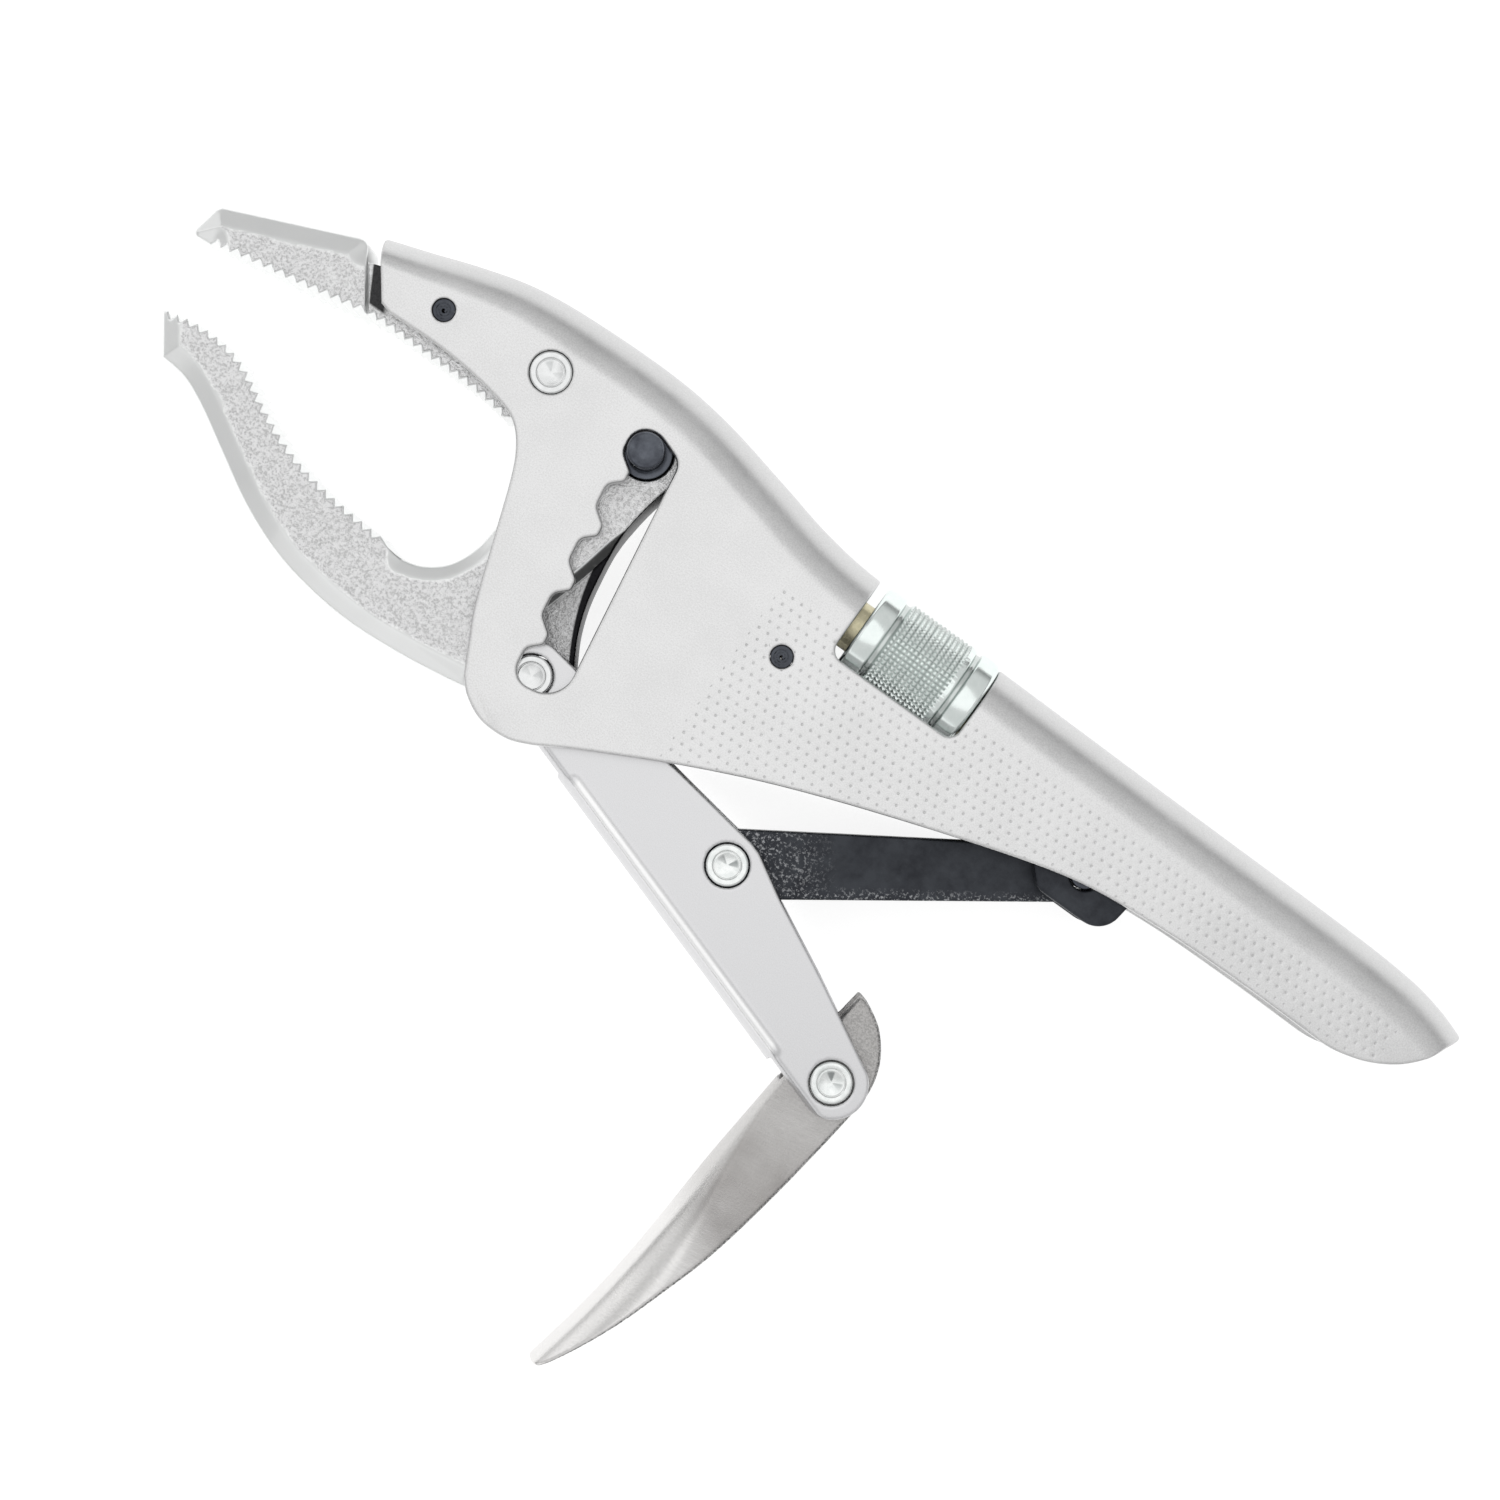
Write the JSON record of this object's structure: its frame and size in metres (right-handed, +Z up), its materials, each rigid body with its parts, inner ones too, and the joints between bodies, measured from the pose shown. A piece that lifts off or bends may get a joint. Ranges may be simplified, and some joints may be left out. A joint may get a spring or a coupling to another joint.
{
  "type": "locking pliers",
  "caption": "Toggle-locking pliers with a folded steel body, toothed fixed jaw, notched-slot lower jaw, side-knurled adjusting nut and hinged release lever.",
  "frame": {"origin": "under the middle of the tool's box, on the surface it lies on", "axes": "+X along the tool from the jaws to the handle's end, +Y from the lever to the spine, +Z up through the thickness of the tool lying on its side"},
  "size_m": [0.2836, 0.1672, 0.0228],
  "materials": {
    "body_steel": "satin bead-blasted plated steel",
    "jaw_steel": "forged, coarse blasted grain with smooth bevels",
    "bright_steel": "turned bright steel",
    "lever_steel": "smooth satin plated steel",
    "release_nickel": "nickel plated, brushed near the pivot and polished at the tail",
    "black_oxide": "black oxide, worn along its edges",
    "button_black": "glossy black oxide",
    "nut_zinc": "bright zinc, knurled",
    "screw_zinc": "yellow zinc plating",
    "spring_steel": "drawn spring wire"
  },
  "bodies": {
    "frame": {"body_frame": "body_steel", "upper_jaw": "jaw_steel", "upper_jaw_rivet": "bright_steel", "front_coil_pin": "black_oxide", "rear_coil_pin": "black_oxide", "screw_guide": "black_oxide", "opening_spring": "spring_steel"},
    "nut": {"adjusting_nut": "nut_zinc"},
    "screw": {"adjusting_screw": "screw_zinc", "screw_yoke": "black_oxide"},
    "yoke_pivot": {"yoke_pin": "button_black"},
    "yoke_bearing": {"yoke_bush": "bright_steel"},
    "link": {"toggle_link": "black_oxide"},
    "lever_arm": {"lever": "lever_steel", "link_rivet": "bright_steel", "jaw_lever_rivet": "bright_steel", "release_lever_rivet": "bright_steel"},
    "release": {"release_lever": "release_nickel"},
    "jaw_pin": {"pivot_pin": "button_black"},
    "jaw_sleeve": {"pivot_sleeve": "bright_steel"},
    "jaw_washers": {"rear_pivot_washer": "button_black", "front_pivot_washer": "button_black"},
    "jaw": {"lower_jaw": "jaw_steel"}
  },
  "joints": [
    {"name": "jaw_position", "type": "slide", "parent": "frame", "child": "jaw_pin", "axis": [0.1599, -0.9871, 0], "range_m": [0, 0.0452], "deforming": ["opening_spring"]},
    {"name": "jaw_position_turn", "type": "hinge", "parent": "jaw_pin", "child": "jaw_sleeve", "pos_m": [-0.04736, 0.06809, 0.0102], "axis": [0, 0, 1], "range_deg": [-0.1, 14.3], "deforming": ["opening_spring"]},
    {"name": "screw_jaw_turn", "type": "hinge", "parent": "jaw_sleeve", "child": "jaw_washers", "pos_m": [-0.04736, 0.06809, 0.0102], "axis": [0, 0, 1], "range_deg": [-0.1, 6.6], "deforming": ["opening_spring"]},
    {"name": "jaw_close", "type": "hinge", "parent": "jaw_washers", "child": "jaw", "pos_m": [-0.04736, 0.06809, 0.0102], "axis": [0, 0, 1], "range_deg": [-8.5, 0.1], "deforming": ["opening_spring"]},
    {"name": "nut_turn", "type": "hinge", "parent": "frame", "child": "nut", "pos_m": [0.01729, 0.06499, 0.0102], "axis": [1, 0, 0], "range_deg": [-2, 1442]},
    {"name": "screw_travel", "type": "slide", "parent": "frame", "child": "screw", "axis": [1, 0, 0], "range_m": [0, 0.006]},
    {"name": "jaw_position_link_turn", "type": "hinge", "parent": "screw", "child": "yoke_pivot", "pos_m": [0.06534, 0.05179, 0.0102], "axis": [0, 0, 1], "range_deg": [-0.1, 23.6]},
    {"name": "screw_link_turn", "type": "hinge", "parent": "yoke_pivot", "child": "yoke_bearing", "pos_m": [0.06534, 0.05179, 0.0102], "axis": [0, 0, 1], "range_deg": [-1, 0.1]},
    {"name": "link_swing", "type": "hinge", "parent": "yoke_bearing", "child": "link", "pos_m": [0.06534, 0.05179, 0.0102], "axis": [0, 0, 1], "range_deg": [-16.8, 0.1]},
    {"name": "lever_squeeze", "type": "hinge", "parent": "link", "child": "lever_arm", "pos_m": [0.00984, 0.01429, 0.0102], "axis": [0, 0, 1], "range_deg": [0, 38]},
    {"name": "release_swing", "type": "hinge", "parent": "lever_arm", "child": "release", "pos_m": [0.04944, -0.00741, 0.0102], "axis": [0, 0, 1], "range_deg": [0, 62]}
  ],
  "couplings": [
    {"joint": "jaw_position_turn", "follows": "jaw_position", "rad_per_m": 5.4664},
    {"joint": "jaw_position_link_turn", "follows": "jaw_position", "rad_per_m": 9.0478},
    {"joint": "nut_turn", "follows": "screw_travel", "rad_per_m": 4188.8},
    {"joint": "screw_jaw_turn", "follows": "screw_travel", "rad_per_m": 18.698},
    {"joint": "screw_link_turn", "follows": "screw_travel", "rad_per_m": -2.5691},
    {"joint": "jaw_close", "follows": "lever_squeeze", "ratio": -0.22},
    {"joint": "link_swing", "follows": "lever_squeeze", "ratio": -0.4377}
  ]
}
